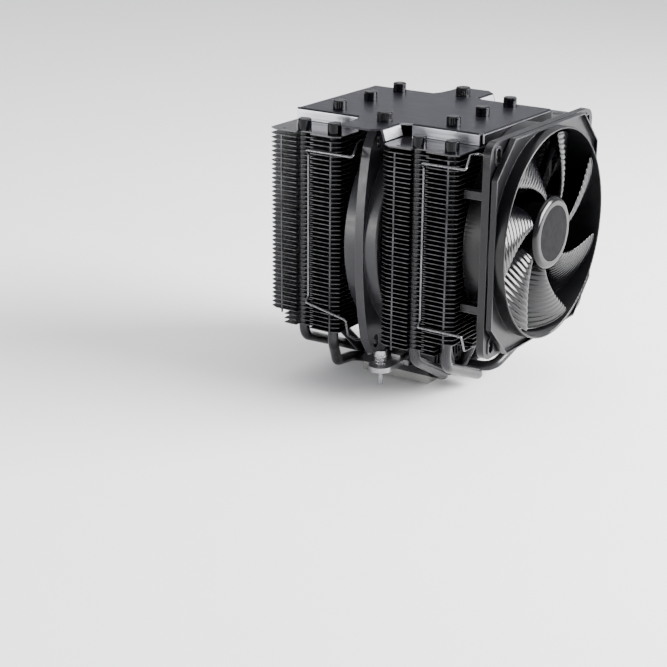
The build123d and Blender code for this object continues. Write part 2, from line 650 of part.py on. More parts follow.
def fan_strips(x_low, x_high, y, low, high):
    """A pair of rubber strips between a fan and the fins."""
    return [block((x_low, side * y - 1.5, low), (x_high, side * y + 1.5, high)) for side in (-1, 1)]


# Wire clips

def wire_hook(hole, knee, bends):
    """One end of a clip, from the knee beside the tower in to the hole, placed from the hole's centre."""
    x, y, z = hole
    offsets = [(knee[0], -CLIP_SIDE_Y - y, knee[1]), *bends, (1.9, 0, bends[-1][2])]
    return [(x + dx, y + dy, z + dz) for dx, dy, dz in offsets]


def wire_clip(tower_x, upper, lower, run_low):
    """A bent wire on the near side: a long run in the tower's groove and a hook into a hole at each end."""
    run_x = tower_x + CLIP_RUN_X
    high = upper[0][2]
    corners = [
        *reversed(upper),
        (run_x, -CLIP_SIDE_Y, high),
        (run_x, -CLIP_RUN_Y, high - 2.9),
        (run_x, -CLIP_RUN_Y, run_low + 2.9),
        (run_x, -CLIP_SIDE_Y, run_low),
        *lower,
    ]
    path = FilletPolyline(*corners, radius=1.2)
    section = Plane(origin=corners[0], z_dir=(-1, 0, 0)) * Circle(WIRE_RADIUS)
    return sweep(section, path=path)


def front_clip():
    """The near clip of the front fan."""
    reach = FAN_HOLE_SPACING / 2
    hole_x = FRONT_FAN_X + 12.8
    upper_bends = [(-10.0, -7.5, 0.0), (-8.1, -2.5, 0.1), (-5.4, 0, -1.0)]
    lower_bends = [(-9.5, -7.5, -3.1), (-7.6, -2.5, -1.6), (-5.0, 0, 0)]
    upper = wire_hook((hole_x, -reach, FRONT_FAN_Z + reach), (-7.0, -5.5), upper_bends)
    lower = wire_hook((hole_x, -reach, FRONT_FAN_Z - reach), (-6.3, 8.3), lower_bends)
    return wire_clip(TOWER_X, upper, lower, lower[0][2])


def middle_clip():
    """The near clip of the middle fan, whose lower leg slopes down from the groove."""
    hole_x = MIDDLE_FAN_X + 11.0
    upper_bends = [(-6.4, -7.5, -1.2), (-6.8, -2.5, 0), (-4.4, 0, 0)]
    lower_bends = [(-8.8, -11.5, 4.3), (-7.8, -4.0, -0.6), (-4.8, 0, 0)]
    upper = wire_hook((hole_x, -MIDDLE_HOLE_Y, MIDDLE_FAN_Z + MIDDLE_HOLE_Z), (-3.6, -6.5), upper_bends)
    lower = wire_hook((hole_x, -MIDDLE_HOLE_Y, MIDDLE_FAN_Z - MIDDLE_HOLE_Z), (-6.9, 15.1), lower_bends)
    return wire_clip(-TOWER_X, upper, lower, lower[0][2] + 5.4)


def write_towers():
    """Fin stacks, plates, cover and caps."""
    save("rear_fin_stack", fin_stack(-TOWER_X, -1))
    save("front_fin_stack", fin_stack(TOWER_X, 1))
    save("rear_top_plate", top_plate(-TOWER_X))
    save("front_top_plate", top_plate(TOWER_X))
    save("top_cover", top_cover())
    raised, lower = pipe_caps()
    save("raised_pipe_caps", raised)
    save("lower_pipe_caps", lower)


def write_base():
    """Heat pipes, base, bridge, screws and access plugs."""
    for index in range(1, 8):
        save(f"heat_pipe_{index}", heat_pipe(index))
    save("contact_plate", contact_plate())
    save("base_block", base_block())
    save("base_screws", base_screws())
    save("mounting_bridge", mounting_bridge())
    captive = {
        "mounting_screw": mounting_screw(),
        "retaining_ring": retaining_ring(),
        "screw_washer": screw_washer(),
        "screw_spring": screw_spring(),
        "access_plug": access_plug(),
    }
    for side, y in (("near", -SCREW_SPACING / 2), ("far", SCREW_SPACING / 2)):
        for part, shape in captive.items():
            save(f"{side}_{part}", Pos(0, y, 0) * shape)


def write_fans():
    """Both fans, their rubber strips and their wire clips."""
    save("front_fan_frame", front_fan_frame())
    save("middle_fan_frame", middle_fan_frame())
    front_place = Pos(FRONT_FAN_X, 0, FRONT_FAN_Z)
    middle_place = Pos(MIDDLE_FAN_X, 0, MIDDLE_FAN_Z)
    front_tip = FRONT_FAN_SIZE / 2 - 2.7 - BLADE_TIP_GAP
    middle_tip = MIDDLE_RING_RADIUS - MIDDLE_RING_WALL - BLADE_TIP_GAP
    fan_parts("front", front_place, front_tip, 23.0, 4.8, FRONT_FAN_DEPTH - 0.7)
    fan_parts("middle", middle_place, middle_tip, 20.2, 4.6, MIDDLE_FAN_DEPTH - 0.4)
    face = TOWER_GAP / 2
    middle_front = MIDDLE_FAN_X + MIDDLE_FAN_DEPTH
    middle_strips = fan_strips(-face, MIDDLE_FAN_X, 45, 45, 135) + fan_strips(middle_front, face, 45, 45, 135)
    save("middle_fan_strips", group(middle_strips))
    save("front_fan_strips", group(fan_strips(TOWER_X + FIN_FACE_X, FRONT_FAN_X, 40, 45, 145)))
    for name, clip in (("front", front_clip()), ("middle", middle_clip())):
        save(f"{name}_near_clip", clip)
        save(f"{name}_far_clip", mirror(clip, about=Plane.XZ))


os.makedirs("parts", exist_ok=True)
write_towers()
write_base()
write_fans()
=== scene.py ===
import json
import math

import bpy
import numpy as np
from mathutils import Matrix, Vector


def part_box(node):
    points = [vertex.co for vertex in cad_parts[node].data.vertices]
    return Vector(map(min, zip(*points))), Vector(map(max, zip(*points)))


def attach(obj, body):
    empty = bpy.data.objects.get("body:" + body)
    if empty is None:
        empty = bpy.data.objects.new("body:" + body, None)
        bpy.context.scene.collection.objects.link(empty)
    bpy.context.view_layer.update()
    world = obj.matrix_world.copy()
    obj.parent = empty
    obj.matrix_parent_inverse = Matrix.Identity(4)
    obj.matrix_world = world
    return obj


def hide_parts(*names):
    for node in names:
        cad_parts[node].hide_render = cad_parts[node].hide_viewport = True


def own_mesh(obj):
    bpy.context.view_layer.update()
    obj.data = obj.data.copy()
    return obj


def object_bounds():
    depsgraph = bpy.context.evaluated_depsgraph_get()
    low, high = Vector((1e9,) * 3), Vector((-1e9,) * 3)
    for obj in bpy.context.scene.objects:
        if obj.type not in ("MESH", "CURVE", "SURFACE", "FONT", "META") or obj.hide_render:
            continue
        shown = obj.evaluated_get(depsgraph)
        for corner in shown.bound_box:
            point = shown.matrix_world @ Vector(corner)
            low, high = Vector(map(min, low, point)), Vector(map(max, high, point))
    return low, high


# A CPU tower cooler in a plain studio: looks for every part, and ridged rotors and coil springs as new pieces

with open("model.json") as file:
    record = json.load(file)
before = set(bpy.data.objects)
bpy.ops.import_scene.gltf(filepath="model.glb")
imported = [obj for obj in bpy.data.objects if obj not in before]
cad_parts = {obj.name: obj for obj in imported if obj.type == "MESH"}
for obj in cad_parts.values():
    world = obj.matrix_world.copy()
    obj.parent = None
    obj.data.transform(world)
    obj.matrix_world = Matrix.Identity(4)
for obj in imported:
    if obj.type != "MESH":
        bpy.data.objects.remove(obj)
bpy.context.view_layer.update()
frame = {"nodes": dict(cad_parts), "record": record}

MM = 0.001

# Hubs and blades, shaped as in the CAD; lengths in millimetres, angles in degrees
BLADE_COUNT = 7
HUB_RADIUS, HUB_WALL, HUB_REAR, HUB_ROUND = 21.0, 1.6, 4.2, 3.4
HUB_FACE_THICKNESS, SHAFT_HOLE_RADIUS, HUB_SEGMENTS = 2.1, 1.8, 96
DISC_RADIUS, DISC_THICKNESS, DISC_GAP = 15.6, 0.8, 0.1
ROOT_SPAN, TIP_SPAN, SPAN_POWER = 27.0, 45.0, 0.8
LEAD_SWEEP, SWEEP_POWER = 32.0, 1.4
ROOT_SETBACK, TIP_RISE, DROP_POWER = 1.7, 3.2, 1.7
FIRST_BLADE_ANGLE = 90.0
ROOT_DEPTH, TIP_CLEARANCE = 1.0, 0.05

# Blade thickness in millimetres, the share of it left at an edge, and the room sunk for the front's ridges
BLADE_HALF_THICKNESS, EDGE_SHARE, BLADE_SINK = 0.45, 0.25, 0.3

# Blade ridges in millimetres; they are lower on the back and fade in over a short way from the hub
RIDGE_PITCH, RIDGE_HEIGHT, RIDGE_FADE, BACK_RIDGE_SHARE = 2.9, 0.34, 2.0, 0.15

# Notches between the ridges along the leading edge: depth in millimetres, then shares of span and chord
NOTCH_DEPTH, NOTCH_START, NOTCH_FADE, NOTCH_WIDTH = 1.1, 0.35, 0.25, 0.15

# Both rotors: front and rear limits of the blades, and steps along and across a blade
ROTORS = {
    "front": {"front": 23.0, "rear": 4.8, "steps": (126, 30)},
    "middle": {"front": 20.2, "rear": 4.6, "steps": (140, 20)},
}

# Screw springs; the coil's and the wire's radius and how far a screw presses, in millimetres
SPRING_RADIUS, SPRING_WIRE, SPRING_TRAVEL = 3.1, 0.32, 2.5
SPRING_TURNS, STEPS_PER_TURN = 3, 40

# Cover, in metres from its middle: where the painted highlight on its tongues' sides stops, and a limit past
# its ends, which carry painted shade
TONGUE_SIDE_END_Y, COVER_END_LIMIT_Y = 0.0605, 0.0400

# Depth of fine surface texture, in metres
FINE_BUMP = 0.00002

# Round paper floor, in metres; the gap leaves room for a pressed screw's end
FLOOR_RADIUS, FLOOR_BEND, FLOOR_RISE, FLOOR_SEGMENTS = 4.0, 1.4, 2.4, 96
FLOOR_GAP = 0.0018

# Camera; place in metres, angles in radians, lens in millimetres
CAMERA_PLACE = Vector((0.471378, -0.792261, 0.343620))
CAMERA_AZIMUTH, CAMERA_ELEVATION, CAMERA_ROLL = 0.592274, 0.339375, 0.007421
CAMERA_LENS, CAMERA_SENSOR = 88.467, 36.0


# Meshes

def new_mesh(name, points, faces, sharp_degrees=35):
    """A smooth-shaded mesh object from points in metres."""
    mesh = bpy.data.meshes.new(name)
    mesh.from_pydata([tuple(p) for p in points], [], faces)
    mesh.validate()
    mesh.polygons.foreach_set("use_smooth", [True] * len(mesh.polygons))
    mesh.set_sharp_from_angle(angle=math.radians(sharp_degrees))
    piece = bpy.data.objects.new(name, mesh)
    bpy.context.scene.collection.objects.link(piece)
    return piece


def grid_faces(rows, columns, first=0, wrap_rows=False, wrap_columns=False):
    """Quads over a grid of points stored row by row."""
    faces = []
    for i in range(rows if wrap_rows else rows - 1):
        for j in range(columns if wrap_columns else columns - 1):
            next_i, next_j = (i + 1) % rows, (j + 1) % columns
            faces.append((
                first + i * columns + j,
                first + i * columns + next_j,
                first + next_i * columns + next_j,
                first + next_i * columns + j,
            ))
    return faces


def revolve_x(profile, segments):
    """Points and faces of a closed profile of (x, radius) pairs turned round the X axis."""
    points = []
    for k in range(segments):
        angle = 2 * math.pi * k / segments
        points += [(x, r * math.cos(angle), r * math.sin(angle)) for x, r in profile]
    return points, grid_faces(segments, len(profile), wrap_rows=True, wrap_columns=True)


def sweep_tube(path, radius, sides=12):
    """Points and faces of a round wire along a path that starts level, closed at both ends."""
    path = np.array(path, float)
    tangents = np.gradient(path, axis=0)
    tangents /= np.linalg.norm(tangents, axis=1)[:, None]
    across = np.cross(tangents[0], (0.0, 0.0, 1.0))
    points = []
    for centre, tangent in zip(path, tangents):
        across = across - tangent * (across @ tangent)
        across /= np.linalg.norm(across)
        up = np.cross(tangent, across)
        for k in range(sides):
            angle = 2 * math.pi * k / sides
            points.append(centre + radius * (math.cos(angle) * across + math.sin(angle) * up))
    faces = grid_faces(len(path), sides, wrap_columns=True)
    faces.append(tuple(reversed(range(sides))))
    last = (len(path) - 1) * sides
    faces.append(tuple(range(last, last + sides)))
    return points, faces


def span_share(radius, tip):
    """0 at the hub and 1 at a blade's tip."""
    return np.clip((radius - HUB_RADIUS) / (tip - HUB_RADIUS), 0, 1)


def blade_middle(radius, along, tip, front, rear):
    """Points on a blade's middle surface; along runs from 0 at the leading edge to 1."""
    share = span_share(radius, tip)
    span = ROOT_SPAN + (TIP_SPAN - ROOT_SPAN) * share ** SPAN_POWER
    turn = share * along + (1 - share) * np.sin(np.pi / 2 * along)
    angle = np.radians(FIRST_BLADE_ANGLE - LEAD_SWEEP * (1 - share) ** SWEEP_POWER - span * turn)
    drop = share * along ** DROP_POWER + (1 - share) * (1 - np.cos(np.pi / 2 * along))
    lead = front - ROOT_SETBACK * (1 - share)
    depth = lead - (lead - rear - TIP_RISE * share) * drop
    return depth, angle


def ridge_wave(radius):
    """0 in the groove between two ridges and 1 on a ridge's back."""
    return np.abs(np.sin(np.pi * (radius - HUB_RADIUS) / RIDGE_PITCH))


def blade_grid(tip, front, rear, radial_steps, chord_steps):
    """Front and back surfaces of one ridged blade, as two grids of points in millimetres."""
    radius = np.linspace(HUB_RADIUS - ROOT_DEPTH, tip, radial_steps)[:, None]
    spread = np.linspace(0, 1, chord_steps)[None, :]
    along = (1 - np.cos(np.pi * spread)) / 2
    radius, along = np.broadcast_arrays(radius, along)
    depth, angle = blade_middle(radius, along, tip, front, rear)
    wave = ridge_wave(radius)
    outer = np.clip((span_share(radius, tip) - NOTCH_START) / NOTCH_FADE, 0, 1)
    notch = outer * np.clip(1 - along / NOTCH_WIDTH, 0, 1)
    angle = angle + notch * (wave - 1) * NOTCH_DEPTH / radius
    middle = np.stack([depth, radius * np.cos(angle), radius * np.sin(angle)], axis=2)
    by_radius = np.gradient(middle, axis=0)
    by_chord = np.gradient(middle, axis=1)
    normal = np.cross(by_chord, by_radius)
    normal /= np.linalg.norm(normal, axis=2)[:, :, None]
    normal *= np.sign(normal[:, :, :1])
    inside_edges = np.clip(1 - np.abs(2 * along - 1) ** 6, 0, 1) ** 0.5
    off_hub = np.clip((radius - HUB_RADIUS) / RIDGE_FADE, 0, 1)
    ridge = (RIDGE_HEIGHT * wave * off_hub * inside_edges)[:, :, None]
    half = (BLADE_HALF_THICKNESS * (EDGE_SHARE + (1 - EDGE_SHARE) * inside_edges))[:, :, None]
    face = middle + normal * (half + ridge - BLADE_SINK)
    back = middle - normal * (half + BACK_RIDGE_SHARE * ridge)
    return face, back


def blade_solid(tip, front, rear, radial_steps, chord_steps):
    """Points in millimetres and faces of one closed blade."""
    face, back = blade_grid(tip, front, rear, radial_steps, chord_steps)
    points = np.concatenate([face.reshape(-1, 3), back.reshape(-1, 3)])
    count = radial_steps * chord_steps
    faces = grid_faces(radial_steps, chord_steps)
    faces += [tuple(reversed(f)) for f in grid_faces(radial_steps, chord_steps, count)]
    rim = list(range(chord_steps))
    rim += [i * chord_steps + chord_steps - 1 for i in range(1, radial_steps)]
    rim += [(radial_steps - 1) * chord_steps + j for j in range(chord_steps - 2, -1, -1)]
    rim += [i * chord_steps for i in range(radial_steps - 2, 0, -1)]
    for a, b in zip(rim, rim[1:] + rim[:1]):
        faces.append((b, a, a + count, b + count))
    return points, faces


def hub_profile(hub_front):
    """The hub's section as (x, radius) in millimetres, from the back of its wall round its front edge."""
    round_x, round_radius = hub_front - HUB_ROUND, HUB_RADIUS - HUB_ROUND
    disc_floor = hub_front - DISC_THICKNESS
    inside = hub_front - HUB_FACE_THICKNESS
    profile = [(HUB_REAR, HUB_RADIUS - HUB_WALL), (HUB_REAR, HUB_RADIUS)]
    for degrees in range(0, 91, 9):
        a = math.radians(degrees)
        profile.append((round_x + HUB_ROUND * math.sin(a), round_radius + HUB_ROUND * math.cos(a)))
    profile += [
        (hub_front, DISC_RADIUS + DISC_GAP),
        (disc_floor, DISC_RADIUS + DISC_GAP),
        (disc_floor, SHAFT_HOLE_RADIUS),
        (inside, SHAFT_HOLE_RADIUS),
        (inside, HUB_RADIUS - HUB_WALL),
    ]
    return profile


def fan_rotor(name, centre, tip, front, rear, hub_front, radial_steps, chord_steps):
    """A hub with its ridged blades, in place round the fan's axis."""
    points, faces = revolve_x(hub_profile(hub_front), HUB_SEGMENTS)
    points = [np.array(points)]
    total = len(points[0])
    blade_points, blade_faces = blade_solid(tip, front, rear, radial_steps, chord_steps)
    for k in range(BLADE_COUNT):
        turn = np.array(Matrix.Rotation(2 * math.pi * k / BLADE_COUNT, 3, "X"))
        points.append(blade_points @ turn.T)
        faces += [tuple(total + v for v in f) for f in blade_faces]
        total += len(blade_points)
    placed = np.concatenate(points) * MM + np.array(centre)
    return new_mesh(name, placed, faces, sharp_degrees=50)


def screw_spring(name, low, high, y):
    """A coil spring round a mounting screw, between two heights in metres."""
    radius, wire = SPRING_RADIUS * MM, SPRING_WIRE * MM
    steps = STEPS_PER_TURN * SPRING_TURNS
    path = []
    for k in range(steps + 1):
        share = k / steps
        angle = 2 * math.pi * SPRING_TURNS * share
        z = low + wire + (high - low - 2 * wire) * share
        path.append((radius * math.cos(angle), y + radius * math.sin(angle), z))
    points, faces = sweep_tube(path, wire)
    return new_mesh(name, points, faces)


# Materials

class Look:
    """A node material with a principled shader and a few short ways to add detail to it."""

    def __init__(self, name):
        self.material = bpy.data.materials.new(name)
        self.material.use_nodes = True
        self.nodes = self.material.node_tree.nodes
        self.links = self.material.node_tree.links
        self.shader = self.nodes["Principled BSDF"]
        self.place = self.nodes.new("ShaderNodeTexCoord").outputs["Object"]

    def join(self, source, target):
        """Links one socket to another."""
        self.links.new(source, target)

    def noise(self, scale, detail, stretch=(1, 1, 1)):
        """Noise over object coordinates; stretch squeezes it along an axis to make streaks."""
        mapping = self.nodes.new("ShaderNodeMapping")
        mapping.inputs["Scale"].default_value = stretch
        texture = self.nodes.new("ShaderNodeTexNoise")
        texture.inputs["Scale"].default_value = scale
        texture.inputs["Detail"].default_value = detail
        self.join(self.place, mapping.inputs["Vector"])
        self.join(mapping.outputs["Vector"], texture.inputs["Vector"])
        return texture.outputs["Fac"]

    def remap(self, value, low, high, new_low, new_high):
        """A value carried from one range to another and held within it."""
        node = self.nodes.new("ShaderNodeMapRange")
        for socket, number in zip(node.inputs[1:5], (low, high, new_low, new_high)):
            socket.default_value = number
        self.join(value, node.inputs[0])
        return node.outputs[0]

    def math(self, operation, a, b=None):
        """A sum or other operation on numbers or sockets."""
        node = self.nodes.new("ShaderNodeMath")
        node.operation = operation
        for socket, value in zip(node.inputs, (a, b)):
            if isinstance(value, (int, float)):
                socket.default_value = value
            elif value is not None:
                self.join(value, socket)
        return node.outputs[0]

    def mix(self, share, first, second):
        """A colour between two; each is a colour or a socket."""
        node = self.nodes.new("ShaderNodeMix")
        node.data_type = "RGBA"
        self.join(share, node.inputs[0])
        for socket, value in zip((node.inputs[6], node.inputs[7]), (first, second)):
            if isinstance(value, tuple):
                socket.default_value = (*value, 1.0)
            else:
                self.join(value, socket)
        return node.outputs[2]

    def normal_part(self, axis):
        """One part of the surface's own direction, without its sign."""
        geometry = self.nodes.new("ShaderNodeNewGeometry")
        split = self.nodes.new("ShaderNodeSeparateXYZ")
        self.join(geometry.outputs["Normal"], split.inputs[0])
        return self.math("ABSOLUTE", split.outputs[axis])

    def place_part(self, axis):
        """One part of the place on the object, in metres."""
        split = self.nodes.new("ShaderNodeSeparateXYZ")
        self.join(self.place, split.inputs[0])
        return split.outputs[axis]

    def edges(self, radius):
        """1 along edges, up to that radius from them, and 0 on open surfaces."""
        bevel = self.nodes.new("ShaderNodeBevel")
        bevel.samples = 6
        bevel.inputs["Radius"].default_value = radius
        geometry = self.nodes.new("ShaderNodeNewGeometry")
        product = self.nodes.new("ShaderNodeVectorMath")
        product.operation = "DOT_PRODUCT"
        self.join(bevel.outputs["Normal"], product.inputs[0])
        self.join(geometry.outputs["Normal"], product.inputs[1])
        return self.remap(product.outputs["Value"], 0.99, 0.80, 0, 1)

    def bump(self, height, distance, strength, round_edges=0.0):
        """Bump in metres; round_edges softens sharp edges by that radius."""
        node = self.nodes.new("ShaderNodeBump")
        node.inputs["Strength"].default_value = strength
        node.inputs["Distance"].default_value = distance
        self.join(height, node.inputs["Height"])
        if round_edges:
            bevel = self.nodes.new("ShaderNodeBevel")
            bevel.samples = 4
            bevel.inputs["Radius"].default_value = round_edges
            self.join(bevel.outputs["Normal"], node.inputs["Normal"])
        self.join(node.outputs["Normal"], self.shader.inputs["Normal"])

    def set(self, **values):
        """Gives shader inputs a number, a colour or a socket."""
        for name, value in values.items():
            socket = self.shader.inputs[name.replace("_", " ")]
            if isinstance(value, (int, float)):
                socket.default_value = value
            elif isinstance(value, tuple):
                socket.default_value = (*value, 1.0)
            else:
                self.join(value, socket)


def satin_plastic(
    name, dark, light, low_rough, high_rough, grain=5200, edge=0.00025, specular=0.32, mottle_and_edge_highlight=None
):
    """Moulded plastic: faint mottling, a fine grain and slightly rounded edges, which may carry a lighter
    painted highlight along them.
    """
    look = Look(name)
    cloud = look.noise(70, 4)
    fine = look.noise(grain, 2)
    colour = look.mix(look.remap(cloud, 0.3, 0.7, 0, 1), dark, light)
    if mottle_and_edge_highlight:
        # Painted highlight: a lighter colour along the edges, in patches, stands in for edges catching light.
        patchy = look.remap(look.noise(160, 3), 0.3, 0.6, 0.5, 1)
        edge_highlight_mask = look.math("MULTIPLY", look.edges(0.0006), patchy)
        colour = look.mix(edge_highlight_mask, colour, mottle_and_edge_highlight)
    look.set(Base_Color=colour)
    look.set(Roughness=look.remap(look.noise(240, 5), 0.3, 0.7, low_rough, high_rough))
    look.set(Specular_IOR_Level=specular)
    look.bump(fine, FINE_BUMP, 0.2, edge)
    return look.material


def brushed_metal(name, dark, light, low_rough, high_rough, stretch, metallic=1.0):
    """Metal with a little tarnish and fine streaks along the axes that stretch squeezes."""
    look = Look(name)
    streak = look.noise(2600, 4, stretch)
    cloud = look.noise(90, 4)
    blend = look.math("ADD", look.math("MULTIPLY", streak, 0.7), look.math("MULTIPLY", cloud, 0.3))
    look.set(Base_Color=look.mix(look.remap(blend, 0.35, 0.65, 0, 1), dark, light))
    look.set(Roughness=look.remap(streak, 0.3, 0.7, low_rough, high_rough), Metallic=metallic)
    look.bump(streak, FINE_BUMP, 0.35, 0.00012)
    return look.material


def fin_metal():
    """Dark plated fins; faces turned sideways, the fins' edges, get a lighter colour as a painted highlight.
    """
    look = Look("fins_dark_plated")
    # Painted highlight: sideways faces get the lighter edge colour and flat faces the dark face colour; a
    # streaky mottle varies both.
    flat = look.remap(look.normal_part("Z"), 0.3, 0.7, 0, 1)
    mottle_and_edge_highlight = look.remap(look.noise(420, 3, (1, 1, 0.2)), 0.3, 0.7, 0, 1)
    edge = look.mix(mottle_and_edge_highlight, (0.016, 0.016, 0.018), (0.060, 0.060, 0.064))
    face = look.mix(mottle_and_edge_highlight, (0.003, 0.003, 0.004), (0.006, 0.006, 0.007))
    look.set(Base_Color=look.mix(flat, edge, face))
    look.set(Roughness=look.remap(mottle_and_edge_highlight, 0, 1, 0.30, 0.42), Metallic=0.85)
    look.bump(look.noise(3000, 2), FINE_BUMP, 0.3)
    return look.material


def cover_metal():
    """Blue-grey brushed cover: a painted highlight on the upright sides, painted shade on the folds and on
    the ends.
    """
    look = Look("cover_brushed")
    up = look.normal_part("Z")
    across = look.math("ABSOLUTE", look.place_part("Y"))
    streak = look.noise(2400, 4, (0.025, 1, 1))
    shade = look.remap(streak, 0.3, 0.7, 0, 1)
    top = look.mix(shade, (0.0190, 0.0187, 0.0278), (0.0280, 0.0275, 0.0405))
    # Painted highlight: the lighter colour on the upright sides stands in for light falling on them.
    bright = look.mix(shade, (0.24, 0.24, 0.26), (0.42, 0.42, 0.45))
    # Painted shade: the dark colour on the folds and on the ends stands in for shade.
    dark = look.mix(shade, (0.010, 0.010, 0.012), (0.022, 0.022, 0.025))
    before_tip = look.remap(across, TONGUE_SIDE_END_Y, TONGUE_SIDE_END_Y + 0.0005, 1, 0)
    upright = look.math("MULTIPLY", look.remap(up, 0.42, 0.36, 0, 1), before_tip)
    facing_end = look.remap(look.normal_part("X"), 0.90, 0.97, 0, 1)
    within_ends = look.remap(across, COVER_END_LIMIT_Y - 0.0002, COVER_END_LIMIT_Y, 1, 0)
    side = look.mix(look.math("MULTIPLY", facing_end, within_ends), bright, dark)
    folded = look.mix(look.remap(up, 0.93, 0.985, 0, 1), dark, top)
    look.set(Base_Color=look.mix(upright, folded, side))
    look.set(Roughness=look.remap(streak, 0.3, 0.7, 0.30, 0.40), Metallic=0.9)
    look.bump(streak, FINE_BUMP, 0.4)
    return look.material


def hub_disc_plastic():
    """The plain disc on a hub: nearly black, with a fine mottle and grain."""
    look = Look("hub_disc_satin")
    shade = look.remap(look.noise(900, 3, (0.1, 1, 1)), 0.3, 0.7, 0, 1)
    look.set(Base_Color=look.mix(shade, (0.0008, 0.0008, 0.0014), (0.0016, 0.0016, 0.0026)))
    look.set(Roughness=look.remap(look.noise(300, 4), 0.3, 0.7, 0.42, 0.52), Specular_IOR_Level=0.04)
    look.bump(look.noise(4200, 2), FINE_BUMP, 0.3, 0.0002)
    return look.material


def enamelled_copper():
    """Windings: fine copper turns side by side."""
    look = Look("windings_copper")
    turns = look.noise(2600, 2, (1, 0.05, 0.05))
    shade = look.remap(turns, 0.35, 0.65, 0, 1)
    look.set(Base_Color=look.mix(shade, (0.36, 0.12, 0.05), (0.62, 0.27, 0.12)))
    look.set(Roughness=look.remap(turns, 0.3, 0.7, 0.25, 0.4), Metallic=0.9)
    look.bump(turns, 0.0001, 0.8)
    return look.material


# Every slot's look; each plastic or metal gives its darker and lighter colour and its roughness range
LOOKS = {
    "fins": fin_metal(),
    "cover": cover_metal(),
    "hub_discs": hub_disc_plastic(),
    "windings": enamelled_copper(),
    "top_plates": satin_plastic(
        "plates_gloss", (0.006, 0.006, 0.008), (0.010, 0.010, 0.012), 0.10, 0.18, grain=3000, specular=0.7
    ),
    "caps": satin_plastic(
        "caps_gloss", (0.001, 0.001, 0.002), (0.002, 0.002, 0.003), 0.06, 0.11,
        grain=3000, edge=0.0003, specular=0.2
    ),
    "plugs": satin_plastic(
        "plugs_satin", (0.003, 0.003, 0.004), (0.007, 0.007, 0.008), 0.25, 0.35, specular=0.2
    ),
    # The last colour of both fan frames is a painted highlight along their edges.
    "front_frame": satin_plastic(
        "front_frame_satin", (0.0022, 0.0022, 0.0028), (0.0036, 0.0036, 0.0045), 0.28, 0.34,
        specular=0.28, mottle_and_edge_highlight=(0.045, 0.045, 0.05)
    ),
    "middle_frame": satin_plastic(
        "middle_frame_satin", (0.011, 0.011, 0.013), (0.018, 0.018, 0.021), 0.30, 0.40,
        mottle_and_edge_highlight=(0.05, 0.05, 0.055)
    ),
    "rotors": satin_plastic(
        "rotors_satin", (0.0010, 0.0010, 0.0014), (0.0020, 0.0020, 0.0026), 0.13, 0.18, edge=0.0
    ),
    "strips": satin_plastic("strips_rubber", (0.008, 0.008, 0.008), (0.016, 0.016, 0.016), 0.6, 0.8),
    "magnets": satin_plastic("magnets_ferrite", (0.04, 0.038, 0.036), (0.07, 0.066, 0.06), 0.5, 0.7),
    "board": satin_plastic("board_epoxy", (0.008, 0.045, 0.022), (0.014, 0.075, 0.036), 0.3, 0.45),
    "pipes": brushed_metal(
        "pipes_coated", (0.012, 0.012, 0.013), (0.028, 0.028, 0.031), 0.25, 0.4, (1, 1, 0.1), metallic=0.6
    ),
    "contact_plate": brushed_metal(
        "contact_nickel", (0.30, 0.30, 0.29), (0.46, 0.46, 0.44), 0.12, 0.25, (1, 0.02, 1)
    ),
    "base_block": brushed_metal(
        "base_anodised", (0.016, 0.016, 0.018), (0.034, 0.034, 0.038), 0.32, 0.46, (0.05, 1, 1), metallic=0.7
    ),
    "steel": brushed_metal("steel_satin", (0.24, 0.24, 0.25), (0.40, 0.40, 0.41), 0.25, 0.4, (1, 0.03, 1)),
    "screws": brushed_metal("screws_zinc", (0.26, 0.26, 0.28), (0.44, 0.44, 0.46), 0.22, 0.36, (1, 1, 0.05)),
    "springs": brushed_metal("springs_steel", (0.38, 0.38, 0.39), (0.60, 0.60, 0.61), 0.18, 0.3, (1, 1, 0.3)),
    "wires": brushed_metal("wires_steel", (0.08, 0.08, 0.085), (0.16, 0.16, 0.165), 0.22, 0.34, (1, 1, 0.05)),
    "rotor_steel": brushed_metal(
        "rotor_steel_pressed", (0.26, 0.26, 0.27), (0.40, 0.40, 0.41), 0.25, 0.4, (0.05, 1, 1)
    ),
    "shafts": brushed_metal(
        "shafts_ground", (0.46, 0.46, 0.47), (0.66, 0.66, 0.67), 0.12, 0.22, (1, 0.05, 0.05)
    ),
    "bearings": brushed_metal(
        "bearings_bronze", (0.36, 0.24, 0.12), (0.58, 0.42, 0.24), 0.3, 0.45, (1, 0.1, 0.1)
    ),
    "stator_steel": brushed_metal(
        "stator_laminated", (0.12, 0.12, 0.125), (0.28, 0.28, 0.29), 0.3, 0.45, (1, 0.02, 0.02)
    ),
}


def dress(piece, slot):
    """Gives a piece the look of a slot."""
    piece.data.materials.clear()
    piece.data.materials.append(LOOKS[slot])


def dress_frame():
    """Gives each CAD node the look of its slot."""
    for part in frame["record"]["subparts"]:
        dress(frame["nodes"][part["node"]], part["material_slot"])


def add_piece(piece, body, slot, *nodes):
    """Gives a new piece the look of its slot and hands it to its body, hiding the CAD nodes it stands in for.
    """
    dress(piece, slot)
    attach(piece, body)
    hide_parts(*nodes)


def add_rotors():
    """Both rotors with ridged blades."""
    for fan, blades in ROTORS.items():
        node = f"{fan}_fan_rotor"
        low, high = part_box(node)
        tip = (high.y - low.y) / 2 / MM - TIP_CLEARANCE
        hub_front = (high.x - low.x) / MM + HUB_REAR
        centre = (low.x - HUB_REAR * MM, 0.0, (low.z + high.z) / 2)
        rotor = fan_rotor(
            f"{fan}_ridged_rotor", centre, tip, blades["front"], blades["rear"], hub_front, *blades["steps"]
        )
        add_piece(rotor, f"{fan}_rotor", "rotors", node)


